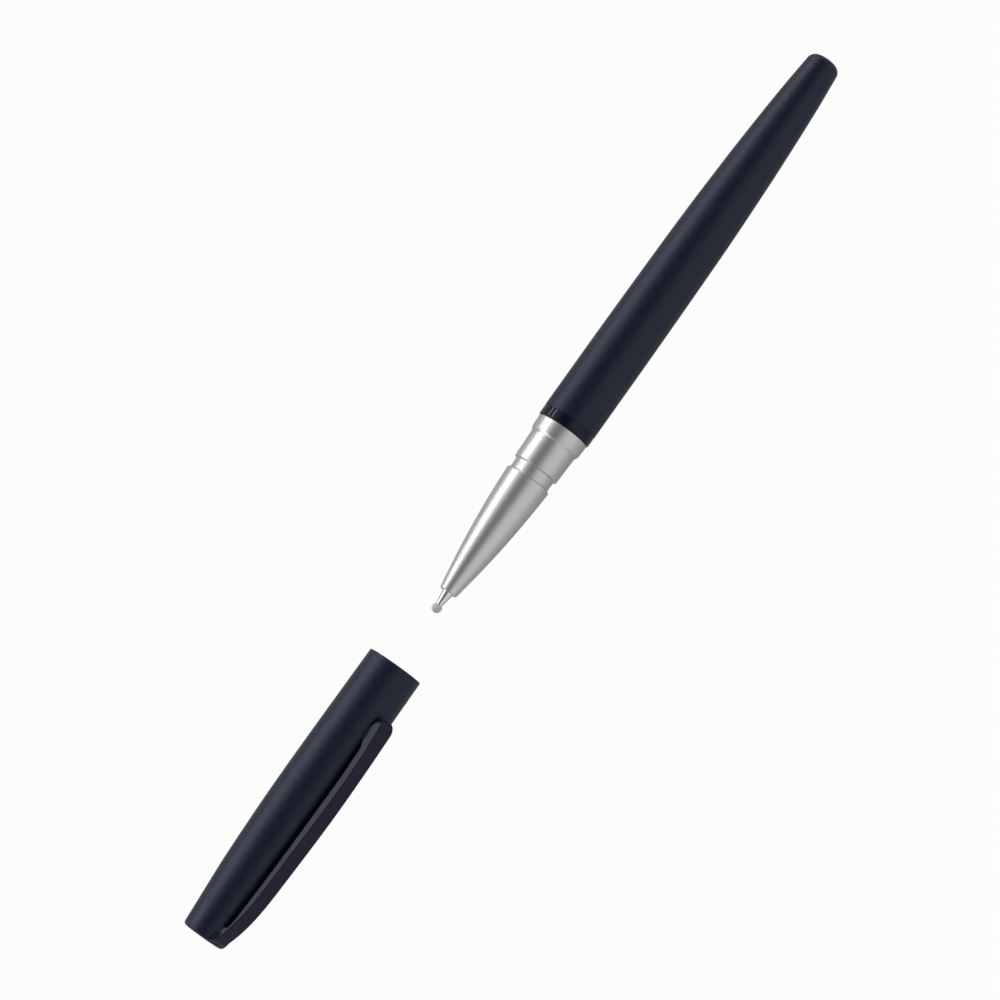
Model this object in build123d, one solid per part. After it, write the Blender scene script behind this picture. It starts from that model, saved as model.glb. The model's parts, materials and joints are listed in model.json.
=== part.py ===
from build123d import *
import os

# Capped rollerball pen with its cap pulled off in line with it, in millimetres.
# The pen's axis is X. The origin is on the axis at the front end of the barrel's navy shell.
# +X runs towards the barrel's domed end, the writing point and the cap lie towards -X, +Z is up.
# Outlines are lists of (x, radius) points. In the cap, x is a depth behind the cap's rim.

# ---- barrel ----
barrel_r = 5.35  # straight front stretch
barrel_straight = 15.5
barrel_length = 81.5
barrel_taper = [(42.8, 5.1), (60.6, 4.5), (72.4, 3.83)]
tail_r = 3.2  # where the dome begins
tail_dome = 1.6
tail_slope = -0.087  # of the side where it meets the dome
dome_shoulder = (-0.78, 2.84)  # dome points as (x from the very end, radius)
dome_face = (-0.3, 2.0)
dome_crown = (-0.08, 1.2)
dome_flat_r = 0.4
barrel_bore_r = 4.75
barrel_bore_end = 12.5
barrel_cavity_r = 3.6
barrel_cavity_end = 64.5
tail_cavity_r = 2.7
tail_cavity_start = 75.0
tail_cavity_end = 79.0

trim_ring_r = 5.32
trim_ring_length = 1.9
trim_ring_edge = 0.1
washer_thickness = 0.15
washer_r = 4.95
washer_bore_r = 4.05

# ---- section: the silver front of the pen ----
nose_front = -37.75
nose_face_r = 1.5
nose_edge = [(0.09, 1.66), (0.35, 1.74)]  # rounded front edge, (x behind the face, radius)
nose_belly = (-24.8, 3.54)
nose_lip = 0.8  # wall in front of the guide bush
nose_hole_r = 1.25
bush_r = 1.6
bush_bore_r = 1.22
bush_length = 2.1
bush_hole_end = -31.0
groove_front = -13.0
groove_front_r = 4.44
groove_rear = -10.6
groove_wall = 0.25  # length of each steep wall
groove_wall_r = 4.06
groove_bottom_r = 4.0
grip_front_r = 4.47
grip_rear_r = 4.63
collar_start = -5.1
collar_shoulder = (0.35, 4.87)  # shoulder points as (x behind its start, radius)
collar_edge = (1.0, 5.02)
collar_r = 5.1
section_bore_r = 3.2
section_bore_start = -17.5
sleeve_seat_r = 3.75
sleeve_seat_start = -10.4

thread_crest_r = 3.95
thread_root_r = 3.6
thread_bore_r = 4.0
thread_pitch = 1.0
thread_crests = 6
thread_start = -1.4
thread_flank = 0.35
thread_flat = 0.1
thread_end_gap = 0.4
insert_step_gap = 0.6
insert_inner_r = 3.4

# ---- refill ----
ball_r = 0.35
ball_x = -41.15
ball_gap = 0.02
tip_rim_x = -41.28
tip_rim_r = 0.42
tip_cone_start = (-40.2, 0.67)
tip_cone_end = (-37.8, 1.07)
tip_shank_start = -37.3
tip_shank_r = 1.15
tip_shank_end = -30.5
ink_channel_r = 0.2
holder_front = -34.0
holder_r = 1.45
holder_cone = [(-31.3, 1.45), (-19.7, 2.75)]
holder_rear = -12.5
feed_r = 0.8
refill_r = 3.05
refill_bore_r = 2.6
refill_front = -16.7
refill_rear = 68.1
plug_face = 65.9
plug_depth = 3.0
vent_r = 0.4
ink_end = 38.5
follower_length = 6.0

seal_x = -41.1
seal_r = 0.95
seal_gap = 0.04
seal_hollow_end = (-39.75, 0.745)

spring_wire_r = 0.2
spring_r = 2.1
spring_turns = 5
spring_gap = 0.03
seat_dish_r = 1.4
seat_dish_depth = 1.0

# ---- cap ----
cap_rim = -53.8
cap_length = 58.3
cap_rim_r = 5.38
cap_side = [(23.1, 5.5), (37.1, 5.3), (51.1, 4.62)]
cap_side_end_r = 4.18
cap_corner = 0.65
cap_corner_middle = (0.19, 3.98)  # (x from the closed end, radius)
cap_end_flat_r = 3.49
cap_end_wall = 0.7
cap_corner_share = 0.7  # of a growth, that its rounded corner moves along X and outwards
cap_mouth_r = 4.8
cap_bore_r = 4.9
grip_ring_seat_r = 4.98
grip_ring_seat = (5.2, 8.7)
grip_ring_r = 4.93
grip_ring_bore_r = 4.5
grip_ring_gap = 0.08
grip_ring_lead = 0.3
liner_end = 33.7
liner_front_bore_r = 4.6
liner_rear_bore_r = 3.2
liner_taper_end = 30.0
cup_front_r = 2.45
cup_rear_r = 1.9
cup_step = 34.0
cup_hollow_end = 41.7
cup_end = 44.2
cap_cone_start = 35.7
cap_cone_end = 53.7
cap_cone_r = 3.6
anchor_front = 52.5

# ---- clip, drawn straight up: (depth behind the cap's rim, distance from the axis) ----
clip_elevation = 41.5  # above the horizontal, on the pen's -Y side
clip_gap = 0.05  # running gap between the clip and the cap
clip_edge = 0.28
clip_root = (58.12, 3.1)
clip_root_bend = (57.85, 3.95)
clip_back = [
    (57.1, 4.7),
    (55.9, 5.33),
    (54.3, 5.95),
    (50.9, 6.84),
    (42.9, 7.58),
    (29.9, 8.12),
    (17.7, 8.08),
    (8.8, 7.4),
]
clip_tip_inner_r = 7.0
clip_bump = [(9.6, 6.56), (11.05, 5.74), (11.9, 5.25), (12.7, 5.06), (13.2, 5.13), (13.9, 5.4), (14.6, 5.93)]
clip_belly = [(15.6, 6.5), (21.7, 6.65), (29.9, 6.62), (40.4, 6.42), (51.1, 5.92), (53.4, 5.65), (54.6, 5.2)]
clip_half_widths = [(58.1, 1.45), (55.7, 1.52), (50.7, 1.56), (29.7, 1.6), (18.7, 1.56), (10.9, 1.8)]
clip_tip = 8.95
clip_blank = 3.0  # half width of the blank that the side outline is cut from
clip_plan_z = (2.0, 10.0)
foot_low = 3.0
foot_top = 5.0
foot_base_half_width = 2.5
foot_top_half_width = 1.4
foot_toe_half_width = 1.3
foot_straight_end = 55.9
foot_toe = 54.7
tongue_x = (-111.1, -110.3)
tongue_half_width = 1.2
tongue_inner_r = 1.6
tongue_outer_r = 4.6
tongue_gap = 0.12
tongue_rear_gap = 0.25
slot_outer_r = 6.0

cap_end = cap_rim - cap_length
collar_rear = -trim_ring_length - washer_thickness
sleeve_neck_end = thread_start + thread_crests * thread_pitch + thread_end_gap
dome_start = barrel_length - tail_dome
clip_roll = 90 - clip_elevation


# ---- helpers ----
def turned(*edges):
    """A solid turned about the X axis from a closed outline in the XY plane, where y is the radius."""
    return revolve(make_face(list(edges)), Axis.X)


def turned_polygon(points):
    return revolve(make_face(Polyline(*points, close=True)), Axis.X)


def ring(x_start, x_end, outer_r, inner_r=0.0):
    return turned_polygon([(x_start, inner_r), (x_end, inner_r), (x_end, outer_r), (x_start, outer_r)])


def inside_cap(depth):
    """The x of a place that lies depth behind the cap's rim."""
    return cap_rim - depth


def cap_points(points, grow=0.0):
    """Points given by their depth behind the cap's rim, as (x, y), moved outwards by grow."""
    return [(inside_cap(depth), r + grow) for depth, r in points]


def block(x_range, half_width, z_range):
    size_x = x_range[1] - x_range[0]
    size_z = z_range[1] - z_range[0]
    centre = Pos((x_range[0] + x_range[1]) / 2, 0, (z_range[0] + z_range[1]) / 2)
    return centre * Box(size_x, 2 * half_width, size_z)


def on_clip_side(shape):
    """Turn a shape made with the clip straight up to where the clip sits."""
    return shape.rotate(Axis.X, clip_roll)


# ---- section ----
def grip_section():
    nose_corner = (nose_front, nose_face_r)
    nose_corner_middle, nose_side = ((nose_front + x, r) for x, r in nose_edge)
    groove_front_foot = (groove_front + groove_wall, groove_wall_r)
    groove_middle = ((groove_front + groove_rear) / 2, groove_bottom_r)
    groove_rear_foot = (groove_rear - groove_wall, groove_wall_r)
    shoulder = (collar_start + collar_shoulder[0], collar_shoulder[1])
    collar_front = (collar_start + collar_edge[0], collar_edge[1])
    body = turned(
        Line((nose_front, nose_hole_r), nose_corner),
        ThreePointArc(nose_corner, nose_corner_middle, nose_side),
        ThreePointArc(nose_side, nose_belly, (groove_front, groove_front_r)),
        Line((groove_front, groove_front_r), groove_front_foot),
        ThreePointArc(groove_front_foot, groove_middle, groove_rear_foot),
        Line(groove_rear_foot, (groove_rear, grip_front_r)),
        Line((groove_rear, grip_front_r), (collar_start, grip_rear_r)),
        ThreePointArc((collar_start, grip_rear_r), shoulder, collar_front),
        Line(collar_front, (collar_rear, collar_r)),
        Line((collar_rear, collar_r), (collar_rear, nose_hole_r)),
        Line((collar_rear, nose_hole_r), (nose_front, nose_hole_r)),
    )
    bush_seat = nose_front + nose_lip
    hollow = turned_polygon([
        (bush_seat, 0),
        (bush_seat, bush_r),
        (bush_hole_end, bush_r),
        (section_bore_start, section_bore_r),
        (sleeve_seat_start, section_bore_r),
        (sleeve_seat_start, sleeve_seat_r),
        (collar_rear, sleeve_seat_r),
        (collar_rear, 0),
    ])
    return body - hollow


def nose_bush():
    front = nose_front + nose_lip
    return ring(front, front + bush_length, bush_r, bush_bore_r)


def thread_sleeve():
    """The neck, with its thread's crests as rings: the turning is in the joints, not in a helix."""
    neck = ring(sleeve_seat_start, sleeve_neck_end, thread_root_r, section_bore_r)
    collar = ring(sleeve_seat_start, collar_rear, sleeve_seat_r, thread_root_r)
    sleeve = neck + collar
    for turn in range(thread_crests):
        start = thread_start + turn * thread_pitch
        sleeve += turned_polygon([
            (start, thread_root_r),
            (start + thread_flank, thread_crest_r),
            (start + thread_flank + thread_flat, thread_crest_r),
            (start + 2 * thread_flank + thread_flat, thread_root_r),
        ])
    return sleeve


def neck_washer():
    return ring(collar_rear, -trim_ring_length, washer_r, washer_bore_r)


# ---- barrel ----
def trim_ring():
    return turned_polygon([
        (-trim_ring_length, barrel_bore_r),
        (-trim_ring_length, trim_ring_r - trim_ring_edge),
        (-trim_ring_length + trim_ring_edge, trim_ring_r),
        (0, trim_ring_r),
        (0, barrel_bore_r),
    ])


def barrel_shell():
    shoulder, face, crown = (
        (barrel_length + x, r) for x, r in (dome_shoulder, dome_face, dome_crown)
    )
    side = Spline(
        (barrel_straight, barrel_r),
        *barrel_taper,
        (dome_start, tail_r),
        tangents=[(1, 0), (1, tail_slope)],
    )
    body = turned(
        Line((0, 0), (0, barrel_r)),
        Line((0, barrel_r), (barrel_straight, barrel_r)),
        side,
        ThreePointArc((dome_start, tail_r), shoulder, face),
        ThreePointArc(face, crown, (barrel_length, dome_flat_r)),
        Line((barrel_length, dome_flat_r), (barrel_length, 0)),
        Line((barrel_length, 0), (0, 0)),
    )
    hollow = turned_polygon([
        (0, 0),
        (0, barrel_bore_r),
        (barrel_bore_end, barrel_bore_r),
        (barrel_bore_end, barrel_cavity_r),
        (barrel_cavity_end, barrel_cavity_r),
        (tail_cavity_start, tail_cavity_r),
        (tail_cavity_end, tail_cavity_r),
        (tail_cavity_end, 0),
    ])
    return body - hollow


def barrel_thread_insert():
    step = sleeve_neck_end + insert_step_gap
    thread_part = ring(-trim_ring_length, step, barrel_bore_r, thread_bore_r)
    rear_part = ring(step, barrel_bore_end, barrel_bore_r, insert_inner_r)
    return thread_part + rear_part


def spring_seat():
    dish = ring(tail_cavity_start, tail_cavity_start + seat_dish_depth, seat_dish_r)
    return ring(tail_cavity_start, tail_cavity_end, tail_cavity_r) - dish


def refill_spring():
    start = refill_rear + spring_wire_r + spring_gap
    height = tail_cavity_start - spring_wire_r - spring_gap - start
    path = Helix(
        pitch=height / spring_turns,
        height=height,
        radius=spring_r,
        center=(start, 0, 0),
        direction=(1, 0, 0),
    )
    wire = Plane(origin=path @ 0, z_dir=path % 0) * Circle(spring_wire_r)
    return sweep(wire, path=path)


# ---- refill ----
def refill_tip():
    """The metal point: a cone with a socket that the ball can't fall out of."""
    body = turned_polygon([
        (tip_rim_x, 0),
        (tip_rim_x, tip_rim_r),
        tip_cone_start,
        tip_cone_end,
        (tip_shank_start, tip_shank_r),
        (tip_shank_end, tip_shank_r),
        (tip_shank_end, 0),
    ])
    socket = Pos(ball_x, 0, 0) * Sphere(ball_r + ball_gap)
    channel = ring(ball_x, tip_shank_end, ink_channel_r)
    return body - socket - channel


def writing_ball():
    return Pos(ball_x, 0, 0) * Sphere(ball_r)


def tip_seal():
    """The bead over the point, open behind, that slips off forwards."""
    bead = Pos(seal_x, 0, 0) * Sphere(seal_r)
    ball_end = ball_x - ball_r - seal_gap
    cone_x, cone_r = tip_cone_start
    end_x, end_r = seal_hollow_end
    hollow = turned_polygon([
        (ball_end, 0),
        (ball_end, ball_r + seal_gap),
        (tip_rim_x, tip_rim_r + seal_gap),
        (cone_x, cone_r + seal_gap),
        (end_x, end_r + seal_gap),
        (end_x, 0),
    ])
    return bead - hollow


def refill_tip_holder():
    body = turned_polygon([
        (holder_front, 0),
        (holder_front, holder_r),
        *holder_cone,
        (refill_front, refill_r),
        (refill_front, refill_bore_r),
        (holder_rear, refill_bore_r),
        (holder_rear, 0),
    ])
    tip_seat = ring(holder_front, tip_shank_end, tip_shank_r)
    feed = ring(tip_shank_end, holder_rear, feed_r)
    return body - tip_seat - feed


def refill_tube():
    return ring(refill_front, plug_face, refill_r, refill_bore_r)


def ink():
    column = ring(holder_rear, ink_end, refill_bore_r)
    return column + ring(tip_shank_end, holder_rear, feed_r)


def ink_follower():
    return ring(ink_end, ink_end + follower_length, refill_bore_r)


def refill_end_plug():
    head = ring(plug_face, refill_rear, refill_r)
    spigot = ring(plug_face - plug_depth, plug_face, refill_bore_r)
    vent = ring(plug_face - plug_depth, refill_rear, vent_r)
    return head + spigot - vent


# ---- cap ----
def cap_outline(grow=0.0):
    """The cap's outer shape as a full solid, made larger all over by grow."""
    rim = (cap_rim + grow, cap_rim_r + grow)
    side_end = (cap_end + cap_corner, cap_side_end_r + grow)
    corner_x, corner_r = cap_corner_middle
    corner_middle = (cap_end + corner_x - grow * cap_corner_share, corner_r + grow * cap_corner_share)
    corner_end = (cap_end - grow, cap_end_flat_r)
    return turned(
        Line((cap_rim + grow, 0), rim),
        Spline(rim, *cap_points(cap_side, grow), side_end),
        ThreePointArc(side_end, corner_middle, corner_end),
        Line(corner_end, (cap_end - grow, 0)),
        Line((cap_end - grow, 0), (cap_rim + grow, 0)),
    )


def cap_hollow():
    seat_front, seat_rear = (inside_cap(depth) for depth in grip_ring_seat)
    return turned_polygon([
        (cap_rim, 0),
        (cap_rim, cap_mouth_r),
        (seat_front, cap_mouth_r),
        (seat_front, grip_ring_seat_r),
        (seat_rear, grip_ring_seat_r),
        (seat_rear, cap_bore_r),
        (inside_cap(cap_cone_start), cap_bore_r),
        (inside_cap(cap_cone_end), cap_cone_r),
        (cap_end + cap_end_wall, cap_cone_r),
        (cap_end + cap_end_wall, 0),
    ])


def tongue_slot(z_low):
    x_range = (tongue_x[0] - tongue_rear_gap, tongue_x[1] + tongue_gap)
    return on_clip_side(block(x_range, tongue_half_width + tongue_gap, (z_low, slot_outer_r)))


def cap_shell():
    return cap_outline() - cap_hollow() - tongue_slot(tongue_inner_r)


def cap_grip_ring():
    front = inside_cap(grip_ring_seat[0] + grip_ring_gap)
    rear = inside_cap(grip_ring_seat[1] - grip_ring_gap)
    return turned_polygon([
        (front, grip_ring_bore_r + grip_ring_lead),
        (front - grip_ring_lead, grip_ring_bore_r),
        (rear + grip_ring_lead, grip_ring_bore_r),
        (rear, grip_ring_bore_r + grip_ring_lead),
        (rear, grip_ring_r),
        (front, grip_ring_r),
    ])


def cap_liner():
    return turned_polygon(cap_points([
        (grip_ring_seat[1], cap_bore_r),
        (grip_ring_seat[1], liner_front_bore_r),
        (liner_taper_end, liner_rear_bore_r),
        (liner_end, liner_rear_bore_r),
        (liner_end, cap_bore_r),
    ]))


def inner_cap():
    return turned_polygon(cap_points([
        (liner_taper_end, liner_rear_bore_r),
        (liner_taper_end, cup_front_r),
        (cup_step, cup_front_r),
        (cup_step, cup_rear_r),
        (cup_hollow_end, cup_rear_r),
        (cup_hollow_end, 0),
        (cup_end, 0),
        (cup_end, liner_rear_bore_r),
    ]))


def clip_anchor():
    slope = (cap_bore_r - cap_cone_r) / (cap_cone_end - cap_cone_start)
    front_r = cap_cone_r + slope * (cap_cone_end - anchor_front)
    plug = turned_polygon([
        (inside_cap(anchor_front), 0),
        (inside_cap(anchor_front), front_r),
        (inside_cap(cap_cone_end), cap_cone_r),
        (cap_end + cap_end_wall, cap_cone_r),
        (cap_end + cap_end_wall, 0),
    ])
    return plug - tongue_slot(tongue_inner_r - tongue_gap)


# ---- clip ----
def back_tip_x():
    return inside_cap(clip_back[-1][0])


def clip_side(inner_edges, inner_start, inner_end):
    """A blank under the clip's back, closed below by inner_edges from the tip's side to the root's."""
    root, bend, *back = cap_points([clip_root, clip_root_bend, *clip_back])
    low_root = (root[0], inner_end[1])
    outline = [
        ThreePointArc(root, bend, back[0]),
        Spline(*back),
        Line(back[-1], inner_start),
        *inner_edges,
        Line(inner_end, low_root),
        Line(low_root, root),
    ]
    return extrude(Plane.XZ * make_face(outline), clip_blank, both=True)


def arm_blank():
    tip = (back_tip_x(), clip_tip_inner_r)
    bump = cap_points(clip_bump)
    belly = cap_points(clip_belly)
    heel = (belly[-1][0], foot_low)
    return clip_side([Spline(tip, *bump, belly[0]), Spline(*belly), Line(belly[-1], heel)], tip, heel)


def foot_blank():
    low_tip = (back_tip_x(), foot_low)
    low_heel = (inside_cap(foot_toe), foot_low)
    return clip_side([Line(low_tip, low_heel)], low_tip, low_heel)


def clip_plan():
    """The clip seen from outside: it widens slowly towards a round free end."""
    near = [(x, -half) for x, half in cap_points(clip_half_widths)]
    far = [(x, -y) for x, y in near]
    face = make_face([
        Spline(*near),
        ThreePointArc(near[-1], (inside_cap(clip_tip), 0), far[-1]),
        Spline(*reversed(far)),
        Line(far[0], near[0]),
    ])
    low, high = clip_plan_z
    return extrude(Pos(0, 0, low) * face, high - low)


def foot_plan(half_width):
    """The foot seen from outside: straight sides at the root, drawn in to a narrow toe."""
    root = inside_cap(clip_root[0])
    straight = inside_cap(foot_straight_end)
    toe = inside_cap(foot_toe)
    corners = [
        (root, half_width),
        (root, -half_width),
        (straight, -half_width),
        (toe, -foot_toe_half_width),
        (toe, foot_toe_half_width),
        (straight, half_width),
    ]
    return make_face(Polyline(*corners, close=True))


def clip_foot():
    """The flared foot that the arm springs from, standing on the cap."""
    base = Pos(0, 0, foot_low) * foot_plan(foot_base_half_width)
    top = Pos(0, 0, foot_top) * foot_plan(foot_top_half_width)
    return loft([base, top], ruled=True) & foot_blank()


def clip():
    arm = arm_blank() & clip_plan()
    back_r = clip_belly[2][1]
    outer_edges = [
        edge
        for edge in arm.edges()
        if edge.length > cap_length / 2 and edge.center().Z > back_r
    ]
    arm = fillet(outer_edges, clip_edge)
    tongue = block(tongue_x, tongue_half_width, (tongue_inner_r, tongue_outer_r))
    whole = arm + clip_foot() - cap_outline(clip_gap) + tongue
    return on_clip_side(whole)


# ---- export ----
nodes = {
    "grip_section": grip_section(),
    "nose_bush": nose_bush(),
    "thread_sleeve": thread_sleeve(),
    "neck_washer": neck_washer(),
    "trim_ring": trim_ring(),
    "barrel_shell": barrel_shell(),
    "barrel_thread_insert": barrel_thread_insert(),
    "spring_seat": spring_seat(),
    "refill_spring": refill_spring(),
    "refill_tip": refill_tip(),
    "writing_ball": writing_ball(),
    "tip_seal": tip_seal(),
    "refill_tip_holder": refill_tip_holder(),
    "refill_tube": refill_tube(),
    "ink": ink(),
    "ink_follower": ink_follower(),
    "refill_end_plug": refill_end_plug(),
    "cap_shell": cap_shell(),
    "cap_grip_ring": cap_grip_ring(),
    "cap_liner": cap_liner(),
    "inner_cap": inner_cap(),
    "clip_anchor": clip_anchor(),
    "clip": clip(),
}

os.makedirs("parts", exist_ok=True)
for name, shape in nodes.items():
    export_step(shape, f"parts/{name}.step")
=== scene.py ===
import json
import math

import bmesh
import bpy
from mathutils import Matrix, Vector


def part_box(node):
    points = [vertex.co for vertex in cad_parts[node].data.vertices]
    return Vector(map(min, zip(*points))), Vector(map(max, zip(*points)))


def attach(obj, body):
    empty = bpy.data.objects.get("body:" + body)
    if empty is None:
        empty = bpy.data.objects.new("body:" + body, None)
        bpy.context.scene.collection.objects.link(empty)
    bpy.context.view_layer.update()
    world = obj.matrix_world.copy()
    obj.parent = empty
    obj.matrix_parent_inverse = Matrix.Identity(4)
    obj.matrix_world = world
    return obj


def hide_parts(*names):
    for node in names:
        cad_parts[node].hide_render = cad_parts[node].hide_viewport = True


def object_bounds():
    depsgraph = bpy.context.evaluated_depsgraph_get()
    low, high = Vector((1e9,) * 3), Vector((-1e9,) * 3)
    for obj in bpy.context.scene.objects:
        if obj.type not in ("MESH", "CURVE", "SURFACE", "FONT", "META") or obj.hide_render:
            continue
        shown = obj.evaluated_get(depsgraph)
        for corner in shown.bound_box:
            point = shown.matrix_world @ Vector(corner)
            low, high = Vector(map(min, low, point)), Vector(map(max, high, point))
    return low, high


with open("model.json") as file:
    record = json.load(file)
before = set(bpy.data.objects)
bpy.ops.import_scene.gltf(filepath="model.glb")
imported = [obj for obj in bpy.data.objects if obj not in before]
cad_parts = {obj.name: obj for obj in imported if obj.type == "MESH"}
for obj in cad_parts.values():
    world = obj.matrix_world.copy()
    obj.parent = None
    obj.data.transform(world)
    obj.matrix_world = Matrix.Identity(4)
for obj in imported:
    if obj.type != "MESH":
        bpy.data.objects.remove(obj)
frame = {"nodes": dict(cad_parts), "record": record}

cad_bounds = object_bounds()
scene = bpy.context.scene
slot_of = {part["node"]: part["material_slot"] for part in frame["record"]["subparts"]}

MM = 0.001
SEGMENTS = 144
CREASE_DEG = 32
MERGE_DISTANCE = 1e-7


# ---- curves for profiles ----
def spline(points, steps=8):
    """A smooth curve through the points (x, r), with x rising or falling all the way."""
    out = []
    count = len(points)
    for i in range(count - 1):
        before = Vector(points[max(i - 1, 0)])
        here = Vector(points[i])
        there = Vector(points[i + 1])
        after = Vector(points[min(i + 2, count - 1)])
        span = there[0] - here[0]
        slope_here = (there - before)[1] / (there - before)[0]
        slope_there = (after - here)[1] / (after - here)[0]
        for k in range(steps):
            t = k / steps
            h00 = 2 * t**3 - 3 * t**2 + 1
            h10 = t**3 - 2 * t**2 + t
            h01 = -2 * t**3 + 3 * t**2
            h11 = t**3 - t**2
            r = h00 * here[1] + h10 * span * slope_here + h01 * there[1] + h11 * span * slope_there
            out.append((here[0] + t * span, r))
    out.append(tuple(points[-1]))
    return out


def arc(start, middle, end, steps):
    """Points along the circle through three points, both ends included."""
    ax, ay = start
    bx, by = middle
    cx, cy = end
    d = 2 * (ax * (by - cy) + bx * (cy - ay) + cx * (ay - by))
    a_squared = ax * ax + ay * ay
    b_squared = bx * bx + by * by
    c_squared = cx * cx + cy * cy
    ox = (a_squared * (by - cy) + b_squared * (cy - ay) + c_squared * (ay - by)) / d
    oy = (a_squared * (cx - bx) + b_squared * (ax - cx) + c_squared * (bx - ax)) / d
    radius = math.hypot(ax - ox, ay - oy)
    start_angle = math.atan2(ay - oy, ax - ox)
    middle_angle = math.atan2(by - oy, bx - ox)
    end_angle = math.atan2(cy - oy, cx - ox)
    turn = (end_angle - start_angle) % math.tau
    if (middle_angle - start_angle) % math.tau > turn:
        turn -= math.tau
    angles = [start_angle + turn * k / steps for k in range(steps + 1)]
    return [(ox + radius * math.cos(a), oy + radius * math.sin(a)) for a in angles]


def edge_arc(corner, before, after, size, steps=4):
    """A small rounding of the corner between two straight runs of a profile."""
    c = Vector(corner)
    a = c + (Vector(before) - c).normalized() * size
    b = c + (Vector(after) - c).normalized() * size
    out = []
    for k in range(steps + 1):
        t = k / steps
        out.append(tuple(a * (1 - t) ** 2 + c * 2 * t * (1 - t) + b * t**2))
    return out


def rounded(points, sizes):
    """A closed profile with the corners named in sizes (index: size) rounded."""
    out = []
    for i, point in enumerate(points):
        if i in sizes:
            out += edge_arc(point, points[i - 1], points[(i + 1) % len(points)], sizes[i])
        else:
            out.append(point)
    return out


def offset(base, places):
    """Places given as (x, r) steps away from a base point."""
    return [(base[0] + x, base[1] + r) for x, r in places]


# ---- meshes ----
def new_object(name, data):
    obj = bpy.data.objects.new(name, data)
    scene.collection.objects.link(obj)
    return obj


def smooth_mesh(bm, name):
    """Smooth shading, with hard edges only where the surface really turns."""
    bmesh.ops.remove_doubles(bm, verts=bm.verts, dist=MERGE_DISTANCE)
    bmesh.ops.recalc_face_normals(bm, faces=bm.faces)
    limit = math.radians(CREASE_DEG)
    for face in bm.faces:
        face.smooth = True
    for edge in bm.edges:
        edge.smooth = len(edge.link_faces) == 2 and edge.calc_face_angle(0) < limit
    mesh = bpy.data.meshes.new(name)
    bm.to_mesh(mesh)
    bm.free()
    return mesh


def lathe(name, profile_mm):
    """A closed surface turned round the X axis from a closed profile of (x, r) in millimetres."""
    bm = bmesh.new()
    rings = []
    for x, r in profile_mm:
        if r * MM < MERGE_DISTANCE:
            rings.append([bm.verts.new((x * MM, 0, 0))])
            continue
        ring = []
        for k in range(SEGMENTS):
            a = math.tau * k / SEGMENTS
            ring.append(bm.verts.new((x * MM, r * MM * math.cos(a), r * MM * math.sin(a))))
        rings.append(ring)
    for ring, after in zip(rings, rings[1:] + rings[:1]):
        if len(ring) == 1 and len(after) == 1:
            continue
        for k in range(SEGMENTS):
            n = (k + 1) % SEGMENTS
            if len(ring) == 1:
                bm.faces.new((ring[0], after[n], after[k]))
            elif len(after) == 1:
                bm.faces.new((ring[k], ring[n], after[0]))
            else:
                bm.faces.new((ring[k], ring[n], after[n], after[k]))
    return new_object(name, smooth_mesh(bm, name))


def x_range(node):
    """Where a node starts and ends along the pen, in millimetres."""
    low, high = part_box(node)
    return low[0] / MM, high[0] / MM


def widest_r(node):
    """A turned node's largest radius, in millimetres."""
    low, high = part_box(node)
    return (high[2] - low[2]) / 2 / MM


# ---- shader building ----
def node_material(name):
    material = bpy.data.materials.new(name)
    material.use_nodes = True
    tree = material.node_tree
    return material, tree, tree.nodes["Principled BSDF"]


def add(tree, kind, **values):
    """A new shader node, with its sockets or its settings given by name."""
    node = tree.nodes.new(kind)
    for key, value in values.items():
        if key in node.inputs:
            node.inputs[key].default_value = value
        else:
            setattr(node, key, value)
    return node


def object_coords(tree, stretch=(1, 1, 1)):
    coords = add(tree, "ShaderNodeTexCoord")
    mapping = add(tree, "ShaderNodeMapping", Scale=stretch)
    tree.links.new(coords.outputs["Object"], mapping.inputs["Vector"])
    return mapping.outputs["Vector"]


def noise(tree, vector, scale, detail, rough):
    """Noise with features about 1/scale metres across."""
    node = add(tree, "ShaderNodeTexNoise", Scale=scale, Detail=detail, Roughness=rough)
    tree.links.new(vector, node.inputs["Vector"])
    return node.outputs["Fac"]


def spread(tree, value, low, high, from_low=0.0, from_high=1.0):
    """Carry a value's range from_low to from_high over to low to high."""
    node = add(tree, "ShaderNodeMapRange")
    node.inputs["From Min"].default_value = from_low
    node.inputs["From Max"].default_value = from_high
    node.inputs["To Min"].default_value = low
    node.inputs["To Max"].default_value = high
    tree.links.new(value, node.inputs["Value"])
    return node.outputs["Result"]


def blend_colours(tree, factor, first, second):
    node = add(tree, "ShaderNodeMix", data_type="RGBA")
    tree.links.new(factor, node.inputs["Factor"])
    for socket, colour in ((node.inputs[6], first), (node.inputs[7], second)):
        if isinstance(colour, tuple):
            socket.default_value = (*colour, 1)
        else:
            tree.links.new(colour, socket)
    return node.outputs[2]


def bumps(tree, shader, *layers):
    """Bump from several height layers, each (height, strength, distance in metres)."""
    normal = None
    for height, strength, distance in layers:
        node = add(tree, "ShaderNodeBump", Strength=strength, Distance=distance)
        tree.links.new(height, node.inputs["Height"])
        if normal:
            tree.links.new(normal, node.inputs["Normal"])
        normal = node.outputs["Normal"]
    tree.links.new(normal, shader.inputs["Normal"])


def specks(tree, vector, scale, size):
    """Sparse round specks: 1 inside a speck and 0 elsewhere."""
    cells = add(tree, "ShaderNodeTexVoronoi", Scale=scale, Randomness=1.0)
    tree.links.new(vector, cells.inputs["Vector"])
    return spread(tree, cells.outputs["Distance"], 1.0, 0.0, size * 0.5, size)


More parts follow.
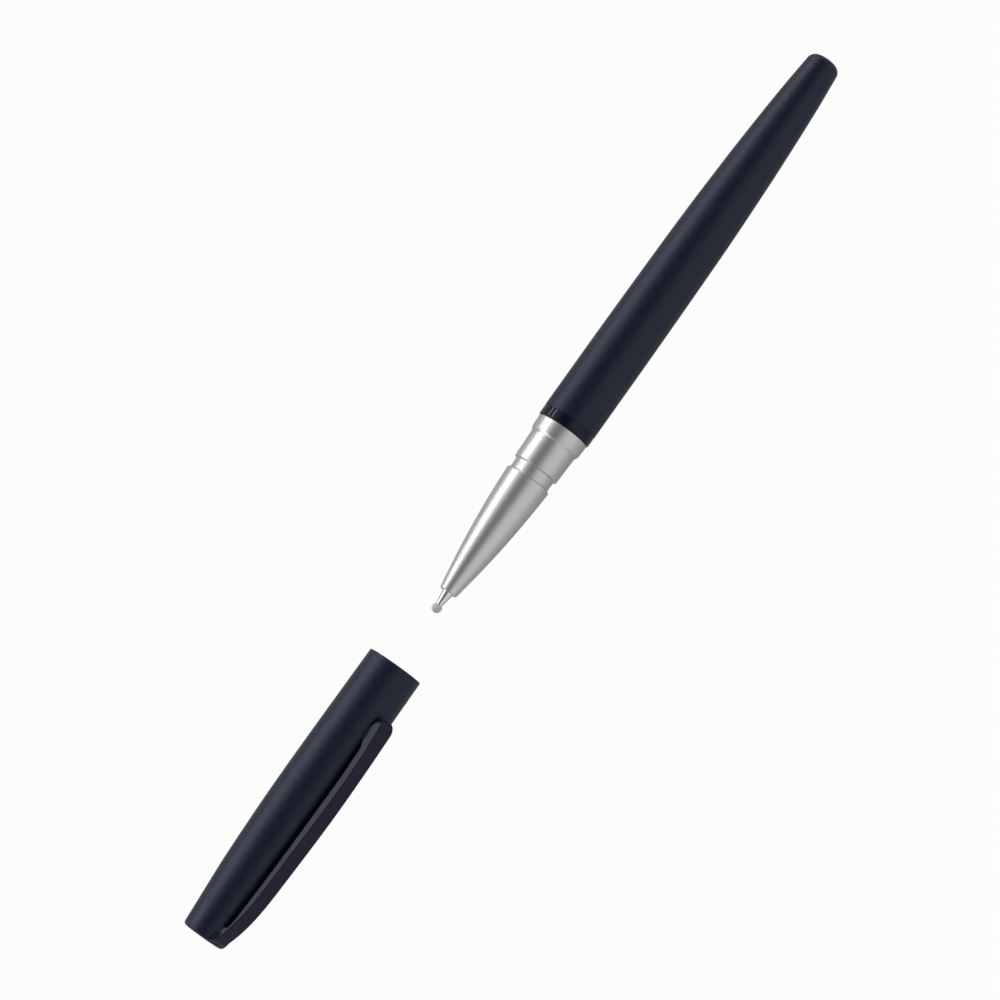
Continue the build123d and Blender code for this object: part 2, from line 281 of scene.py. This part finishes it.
# ---- materials ----
MICRON = 0.000001
NAVY = (0.0008, 0.0024, 0.0125)
NAVY_LIGHT = (0.0042, 0.0075, 0.0255)
GLOSS_NAVY = (0.002, 0.0025, 0.012)
CLIP_NAVY = (0.006, 0.0065, 0.021)
CLIP_NAVY_LIGHT = (0.0105, 0.0105, 0.031)
DUST = (0.09, 0.1, 0.13)
SILVER = (0.6, 0.595, 0.595)
SILVER_LIGHT = (0.72, 0.715, 0.715)
ALONG_THE_PEN = (0.04, 1, 1)


def matt_lacquer(name, colour, light_colour, roughness):
    """Soft-touch lacquer: a fine satin speckle over dark paint, with a few dust specks."""
    material, tree, shader = node_material(name)
    here = object_coords(tree)
    grain = noise(tree, here, scale=9000, detail=2.0, rough=0.7)
    cloud = noise(tree, here, scale=260, detail=3.0, rough=0.55)
    ripple = noise(tree, here, scale=2600, detail=2.0, rough=0.5)
    shade = spread(tree, grain, 0.0, 1.0, from_low=0.3, from_high=0.72)
    tint = blend_colours(tree, shade, colour, light_colour)
    dust = specks(tree, here, scale=150, size=0.026)
    tree.links.new(blend_colours(tree, dust, tint, DUST), shader.inputs["Base Color"])
    gloss = spread(tree, cloud, roughness - 0.035, roughness + 0.04)
    tree.links.new(gloss, shader.inputs["Roughness"])
    shader.inputs["Specular IOR Level"].default_value = 0.5
    shader.inputs["Specular Tint"].default_value = (0.7, 0.8, 1.0, 1)
    bumps(tree, shader, (grain, 0.22, 20 * MICRON), (ripple, 0.08, 40 * MICRON))
    return material


def satin_silver(name):
    """Blasted, satin-plated metal: an even fine grain with a faint soft unevenness."""
    material, tree, shader = node_material(name)
    here = object_coords(tree)
    grain = noise(tree, here, scale=11000, detail=3.0, rough=0.75)
    cloud = noise(tree, here, scale=420, detail=3.0, rough=0.5)
    ripple = noise(tree, here, scale=3000, detail=2.0, rough=0.5)
    shade = spread(tree, grain, 0.0, 1.0, from_low=0.3, from_high=0.7)
    tint = blend_colours(tree, shade, SILVER, SILVER_LIGHT)
    tree.links.new(tint, shader.inputs["Base Color"])
    shader.inputs["Metallic"].default_value = 1.0
    tree.links.new(spread(tree, cloud, 0.3, 0.37), shader.inputs["Roughness"])
    bumps(tree, shader, (grain, 0.25, 18 * MICRON), (ripple, 0.05, 40 * MICRON))
    return material


def gloss_lacquer(name, colour):
    """Wet-looking lacquer with a trace of orange peel."""
    material, tree, shader = node_material(name)
    here = object_coords(tree)
    peel = noise(tree, here, scale=900, detail=1.0, rough=0.4)
    tint = blend_colours(tree, peel, colour, tuple(c * 1.6 for c in colour))
    tree.links.new(tint, shader.inputs["Base Color"])
    tree.links.new(spread(tree, peel, 0.03, 0.07), shader.inputs["Roughness"])
    shader.inputs["Specular IOR Level"].default_value = 0.32
    shader.inputs["Specular Tint"].default_value = (0.85, 0.87, 1.0, 1)
    bumps(tree, shader, (peel, 0.03, 20 * MICRON))
    return material


def satin_lacquer(name, colour, light_colour, roughness):
    """Satin-lacquered metal, smoother than the cap, with faint polishing lines along it."""
    material, tree, shader = node_material(name)
    lines = noise(tree, object_coords(tree, ALONG_THE_PEN), scale=7000, detail=2.0, rough=0.6)
    grain = noise(tree, object_coords(tree), scale=8000, detail=2.0, rough=0.6)
    tint = blend_colours(tree, grain, colour, light_colour)
    tree.links.new(tint, shader.inputs["Base Color"])
    gloss = spread(tree, lines, roughness - 0.04, roughness + 0.05)
    tree.links.new(gloss, shader.inputs["Roughness"])
    shader.inputs["Specular IOR Level"].default_value = 0.3
    shader.inputs["Specular Tint"].default_value = (0.88, 0.86, 1.0, 1)
    bumps(tree, shader, (grain, 0.08, 15 * MICRON), (lines, 0.05, 10 * MICRON))
    return material


def metal(name, colour, roughness, stretch=(1, 1, 1), marks=0.05):
    """Bare turned or drawn metal with fine tool marks."""
    material, tree, shader = node_material(name)
    lines = noise(tree, object_coords(tree, stretch), scale=6000, detail=3.0, rough=0.6)
    tint = blend_colours(tree, lines, tuple(c * 0.88 for c in colour), colour)
    tree.links.new(tint, shader.inputs["Base Color"])
    shader.inputs["Metallic"].default_value = 1.0
    tree.links.new(spread(tree, lines, roughness * 0.7, roughness * 1.3), shader.inputs["Roughness"])
    bumps(tree, shader, (lines, marks, 10 * MICRON))
    return material


def plastic(name, colour, roughness, clear=0.0, sheen=0.0, skin=0.1, mottling=1500):
    """Moulded plastic, rubber or gel: faint mottling and a soft moulded skin."""
    material, tree, shader = node_material(name)
    mottle = noise(tree, object_coords(tree), scale=mottling, detail=3.0, rough=0.55)
    tint = blend_colours(tree, mottle, tuple(c * 0.85 for c in colour), colour)
    tree.links.new(tint, shader.inputs["Base Color"])
    tree.links.new(spread(tree, mottle, roughness * 0.85, roughness * 1.15), shader.inputs["Roughness"])
    shader.inputs["Transmission Weight"].default_value = clear
    shader.inputs["Sheen Weight"].default_value = sheen
    bumps(tree, shader, (mottle, skin, 20 * MICRON))
    return material


LOOKS = {
    "matt_navy": matt_lacquer("matt_navy_lacquer", NAVY, NAVY_LIGHT, roughness=0.4),
    "satin_silver": satin_silver("satin_silver_plate"),
    "gloss_navy": gloss_lacquer("gloss_navy_lacquer", GLOSS_NAVY),
    "satin_navy_metal": satin_lacquer("satin_clip_finish", CLIP_NAVY, CLIP_NAVY_LIGHT, roughness=0.27),
    "polished_tip": metal("polished_point", (0.84, 0.84, 0.87), 0.1, stretch=(0.1, 1, 1), marks=0.02),
    "carbide_ball": metal("carbide_ball", (0.4, 0.4, 0.42), 0.12),
    "clear_seal": plastic("bead_resin", (0.7, 0.72, 0.75), 0.4, clear=0.1, skin=0.02, mottling=500),
    "black_seal": plastic("black_rubber", (0.012, 0.012, 0.014), 0.6, sheen=0.15),
    "brass_bush": metal("turned_brass", (0.72, 0.53, 0.26), 0.24, stretch=(1, 0.1, 0.1), marks=0.12),
    "spring_steel": metal("spring_steel", (0.56, 0.56, 0.58), 0.22),
    "pale_plastic": plastic("pale_plastic", (0.72, 0.72, 0.68), 0.45),
    "tube_plastic": plastic("tube_plastic", (0.6, 0.62, 0.65), 0.3, clear=0.3),
    "ink_fluid": plastic("gel_ink", (0.01, 0.012, 0.03), 0.12),
    "follower_grease": plastic("follower_grease", (0.75, 0.72, 0.55), 0.2, clear=0.4),
    "dark_plastic": plastic("dark_plastic", (0.02, 0.02, 0.022), 0.5),
}

for node, obj in frame["nodes"].items():
    for material_slot in obj.material_slots:
        material_slot.material = LOOKS[slot_of[node]]


def stand_for(obj, node, body):
    """Let a turned piece show in place of a CAD node, with that node's material."""
    obj.data.materials.append(LOOKS[slot_of[node]])
    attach(obj, body)
    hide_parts(node)


# ---- barrel ----
# Profiles are lists of (x, radius) in millimetres, in the CAD model's own frame. A list marked
# "from" an end or an edge holds steps that offset() adds to that place.
BARREL_FRONT_EDGE = [(0.0, -0.06), (0.03, -0.015), (0.07, 0.0)]  # from the front edge
BARREL_STRAIGHT = 15.5
BARREL_SIDE = [(28.5, 5.27), (42.8, 5.1), (52.5, 4.82), (60.6, 4.5), (72.4, 3.83)]
DOME_SIDE = [(-1.6, 3.2), (-0.78, 2.84), (-0.3, 2.0)]  # from the domed end
DOME_FACE = [(-0.3, 2.0), (-0.08, 1.2), (0.0, 0.4)]  # from the domed end
BORE_R = 4.75
BARREL_BORE = [(79.0, 0), (79.0, 2.7), (75.0, 2.7), (64.5, 3.6), (12.5, 3.6), (12.5, BORE_R)]


def barrel():
    start, end = x_range("barrel_shell")
    outer_r = widest_r("barrel_shell")
    dome_side = offset((end, 0), DOME_SIDE)
    dome_face = offset((end, 0), DOME_FACE)
    profile = offset((start, outer_r), BARREL_FRONT_EDGE) + [(BARREL_STRAIGHT / 2, outer_r)]
    profile += spline([(BARREL_STRAIGHT, outer_r), *BARREL_SIDE, dome_side[0]])
    profile += arc(*dome_side, steps=10)[1:] + arc(*dome_face, steps=5)[1:] + [(end, 0)]
    profile += BARREL_BORE + [(start, BORE_R)]
    stand_for(lathe("barrel_skin", profile), "barrel_shell", "barrel")


# ---- ring at the barrel's front ----
RING_FRONT_ROUNDING = 0.12
RING_REAR_ROUNDING = 0.05


def front_ring():
    start, end = x_range("trim_ring")
    outer_r = widest_r("trim_ring")
    corners = [(start, BORE_R), (start, outer_r), (end, outer_r), (end, BORE_R)]
    profile = rounded(corners, {1: RING_FRONT_ROUNDING, 2: RING_REAR_ROUNDING})
    stand_for(lathe("trim_ring_skin", profile), "trim_ring", "barrel")


# ---- section: the silver nose, from its tip to its collar ----
NOSE_HOLE_R = 1.25
NOSE_EDGE = [(0.0, 1.5), (0.09, 1.66), (0.35, 1.74)]  # from the nose's end
NOSE_BELLY = (-24.8, 3.54)
NOSE_END = (-13.02, 4.43)
GROOVE_FRONT = [(-12.96, 4.38), (-12.78, 4.09)]
GROOVE_FLOOR = [(-12.7, 4.055), (-11.8, 4.0), (-10.9, 4.055)]
GROOVE_REAR = [(-10.82, 4.09), (-10.64, 4.41), (-10.58, 4.468)]
GRIP_REAR = (-5.14, 4.628)
SHOULDER = [(-5.1, 4.63), (-4.75, 4.87), (-4.1, 5.02)]
COLLAR_EDGE = [(-0.08, 0.0), (0.0, -0.06)]  # from the collar's rear edge
NECK_R = 3.75
SECTION_HOLLOW = [(-10.4, NECK_R), (-10.4, 3.2), (-17.5, 3.2), (-31.0, 1.6)]
NOSE_LIP = [(0.8, 1.6), (0.8, NOSE_HOLE_R)]  # from the nose's end


def section():
    start, end = x_range("grip_section")
    collar_r = widest_r("grip_section")
    nose_edge = offset((start, 0), NOSE_EDGE)
    profile = [(start, NOSE_HOLE_R)] + arc(*nose_edge, steps=6)
    profile += arc(nose_edge[-1], NOSE_BELLY, NOSE_END, steps=24)[1:]
    profile += GROOVE_FRONT + arc(*GROOVE_FLOOR, steps=8) + GROOVE_REAR + [GRIP_REAR]
    profile += arc(*SHOULDER, steps=8) + offset((end, collar_r), COLLAR_EDGE)
    profile += [(end, NECK_R)] + SECTION_HOLLOW + offset((start, 0), NOSE_LIP)
    stand_for(lathe("section_skin", profile), "grip_section", "section")


# ---- point: the turned cone with the ball's socket in its front ----
CONE = [(-41.28, 0.42), (-40.2, 0.67), (-37.8, 1.07), (-37.3, 1.15)]
CONE_EDGE_ROUNDING = 0.02
SHANK_END = (-30.5, 1.15)
SOCKET_R = 0.37
SOCKET_DEPTH = 0.5


def point():
    front = CONE[0][0]
    socket_end = front + SOCKET_DEPTH
    profile = rounded([(front, SOCKET_R), *CONE], {1: CONE_EDGE_ROUNDING})
    profile += [SHANK_END, (SHANK_END[0], 0), (socket_end, 0), (socket_end, SOCKET_R)]
    stand_for(lathe("point_skin", profile), "refill_tip", "refill")


# ---- bead: the wax-like ball over the point, open behind where the cone goes in ----
BEAD_X = -41.1
BEAD_R = 0.95
BEAD_MOUTH_R = 0.71
BEAD_HOLLOW = [(-40.5, 0.66), (-41.28, 0.46), (-41.54, 0.39), (-41.54, 0)]
BEAD_STEPS = 28


def bead():
    mouth_angle = math.pi - math.asin(BEAD_MOUTH_R / BEAD_R)
    profile = [(BEAD_X - BEAD_R, 0)]
    for k in range(1, BEAD_STEPS + 1):
        angle = mouth_angle * k / BEAD_STEPS
        profile.append((BEAD_X - BEAD_R * math.cos(angle), BEAD_R * math.sin(angle)))
    stand_for(lathe("bead_skin", profile + BEAD_HOLLOW), "tip_seal", "seal")


# ---- cap ----
CAP_BORE_R = 4.8
CAP_LIP = [(-0.3, CAP_BORE_R), (-0.03, 4.95), (0.0, 5.12)]  # from the rim
CAP_RIM_EDGE = [(0.0, 5.28), (-0.025, 5.35)]  # from the rim
CAP_SIDE = [  # from the rim
    (-0.08, 5.38),
    (-11.7, 5.455),
    (-23.1, 5.5),
    (-31.3, 5.44),
    (-37.1, 5.3),
    (-45.1, 5.01),
    (-51.1, 4.62),
]
CAP_CORNER = [(0.65, 4.18), (0.19, 3.98), (0.0, 3.49)]  # from the closed end
CAP_END = [(0.0, 2.0), (0.0, 0.0), (0.7, 0.0), (0.7, 3.6)]  # from the closed end, out then in
CAP_BORE = [  # from the rim
    (-53.7, 3.6),
    (-35.7, 4.9),
    (-8.7, 4.9),
    (-8.7, 4.98),
    (-5.2, 4.98),
    (-5.2, CAP_BORE_R),
]


def cap():
    end, rim = x_range("cap_shell")
    corner = offset((end, 0), CAP_CORNER)
    profile = arc(*offset((rim, 0), CAP_LIP), steps=4) + offset((rim, 0), CAP_RIM_EDGE)
    profile += spline(offset((rim, 0), CAP_SIDE) + corner[:1])
    profile += arc(*corner, steps=8)[1:] + offset((end, 0), CAP_END)
    profile += offset((rim, 0), CAP_BORE)
    stand_for(lathe("cap_skin", profile), "cap_shell", "cap")


for make in (barrel, front_ring, section, point, bead, cap):
    make()


# ---- floor ----
FLOOR_HALF = 3.0
FLOOR_BRIGHTNESS = 0.975


def pale_floor():
    """A plain pale floor under the object, bright to the eye and dimmer in reflections."""
    low = cad_bounds[0][2]
    corners = [(x * FLOOR_HALF, y * FLOOR_HALF, low) for x, y in ((-1, -1), (1, -1), (1, 1), (-1, 1))]
    mesh = bpy.data.meshes.new("floor")
    mesh.from_pydata(corners, [], [(0, 1, 2, 3)])
    floor = new_object("floor", mesh)
    material, tree, shader = node_material("floor_paper")
    shader.inputs["Base Color"].default_value = (0.85, 0.85, 0.85, 1)
    shader.inputs["Roughness"].default_value = 0.9
    shader.inputs["Specular IOR Level"].default_value = 0.1
    glow = add(tree, "ShaderNodeEmission", Color=(1, 1, 1, 1), Strength=FLOOR_BRIGHTNESS)
    sight = add(tree, "ShaderNodeLightPath")
    mix = add(tree, "ShaderNodeMixShader")
    tree.links.new(sight.outputs["Is Camera Ray"], mix.inputs[0])
    tree.links.new(shader.outputs[0], mix.inputs[1])
    tree.links.new(glow.outputs[0], mix.inputs[2])
    tree.links.new(mix.outputs[0], tree.nodes["Material Output"].inputs["Surface"])
    mesh.materials.append(material)


# ---- light ----
STRIP_LENGTH = 1.6
STRIP_DISTANCE = 0.5
AIR_TINT = (1.0, 0.99, 1.0)
# (degrees from straight up towards +Y, brightness), going round the pen
AIR = [
    (-95, 0.3),
    (-84, 0.62),
    (-72, 0.74),
    (-26, 0.72),
    (-10, 0.36),
    (4, 0.17),
    (30, 0.19),
    (42, 0.45),
    (50, 0.8),
    (64, 0.9),
    (98, 0.75),
]


def look_at(obj, target):
    obj.rotation_euler = (target - obj.location).to_track_quat("-Z", "Y").to_euler()


def strip_light(name, tilt_deg, width, radiance):
    """A long strip light beside the pen, tilt_deg from straight up towards +Y, unseen itself."""
    middle = Vector(((cad_bounds[0][0] + cad_bounds[1][0]) / 2, 0, 0))
    tilt = math.radians(tilt_deg)
    light = bpy.data.lights.new(name, "AREA")
    light.shape = "RECTANGLE"
    light.size = STRIP_LENGTH
    light.size_y = width
    light.energy = radiance * math.pi * STRIP_LENGTH * width
    lamp = new_object(name, light)
    lamp.location = middle + Vector((0, math.sin(tilt), math.cos(tilt))) * STRIP_DISTANCE
    look_at(lamp, middle)
    lamp.visible_camera = False


def studio_air():
    """Soft light by the angle round the pen's axis; to the eye it is plain and pale."""
    world = bpy.data.worlds.new("studio_air")
    world.use_nodes = True
    scene.world = world
    tree = world.node_tree
    coords = add(tree, "ShaderNodeTexCoord")
    parts = add(tree, "ShaderNodeSeparateXYZ")
    angle = add(tree, "ShaderNodeMath", operation="ARCTAN2")
    tree.links.new(coords.outputs["Generated"], parts.inputs[0])
    tree.links.new(parts.outputs["Y"], angle.inputs[0])
    tree.links.new(parts.outputs["Z"], angle.inputs[1])
    turn = spread(tree, angle.outputs[0], 0.0, 1.0, from_low=-math.pi, from_high=math.pi)
    ramp = add(tree, "ShaderNodeValToRGB")
    stops = ramp.color_ramp.elements
    stops.remove(stops[1])
    stops[0].position = 0.0
    stops[0].color = (*[AIR[0][1] * c for c in AIR_TINT], 1)
    for degrees, radiance in AIR:
        stop = stops.new((degrees + 180) / 360)
        stop.color = (*[radiance * c for c in AIR_TINT], 1)
    tree.links.new(turn, ramp.inputs["Fac"])
    sight = add(tree, "ShaderNodeLightPath")
    plain = (FLOOR_BRIGHTNESS, FLOOR_BRIGHTNESS, FLOOR_BRIGHTNESS)
    seen = blend_colours(tree, sight.outputs["Is Camera Ray"], ramp.outputs["Color"], plain)
    tree.links.new(seen, tree.nodes["Background"].inputs["Color"])


# ---- camera ----
CAMERA_TARGET = Vector((-0.0188, 0.0020, 0.0))
CAMERA_DIRECTION = Vector((-0.1132, -0.0795, 0.9904))  # from the target to the camera
CAMERA_DISTANCE = 0.609
CAMERA_ROLL = 0.0026
SENSOR_MM = 36
LENS_TO_SENSOR = 3.41
NEAREST = 0.01


def photo_camera():
    """Looks down at 82 degrees; the pen's axis runs up the frame towards the right."""
    camera_data = bpy.data.cameras.new("camera")
    camera_data.sensor_width = SENSOR_MM
    camera_data.lens = SENSOR_MM * LENS_TO_SENSOR
    camera_data.clip_start = NEAREST
    camera = new_object("camera", camera_data)
    camera.location = CAMERA_TARGET + CAMERA_DIRECTION * CAMERA_DISTANCE
    look_at(camera, CAMERA_TARGET)
    camera.rotation_euler.rotate_axis("Z", CAMERA_ROLL)
    scene.camera = camera


studio_air()
strip_light("key_strip", tilt_deg=66, width=0.042, radiance=5.0)
strip_light("low_strip", tilt_deg=86, width=0.036, radiance=4.6)
pale_floor()
photo_camera()
scene.view_settings.view_transform = "Standard"
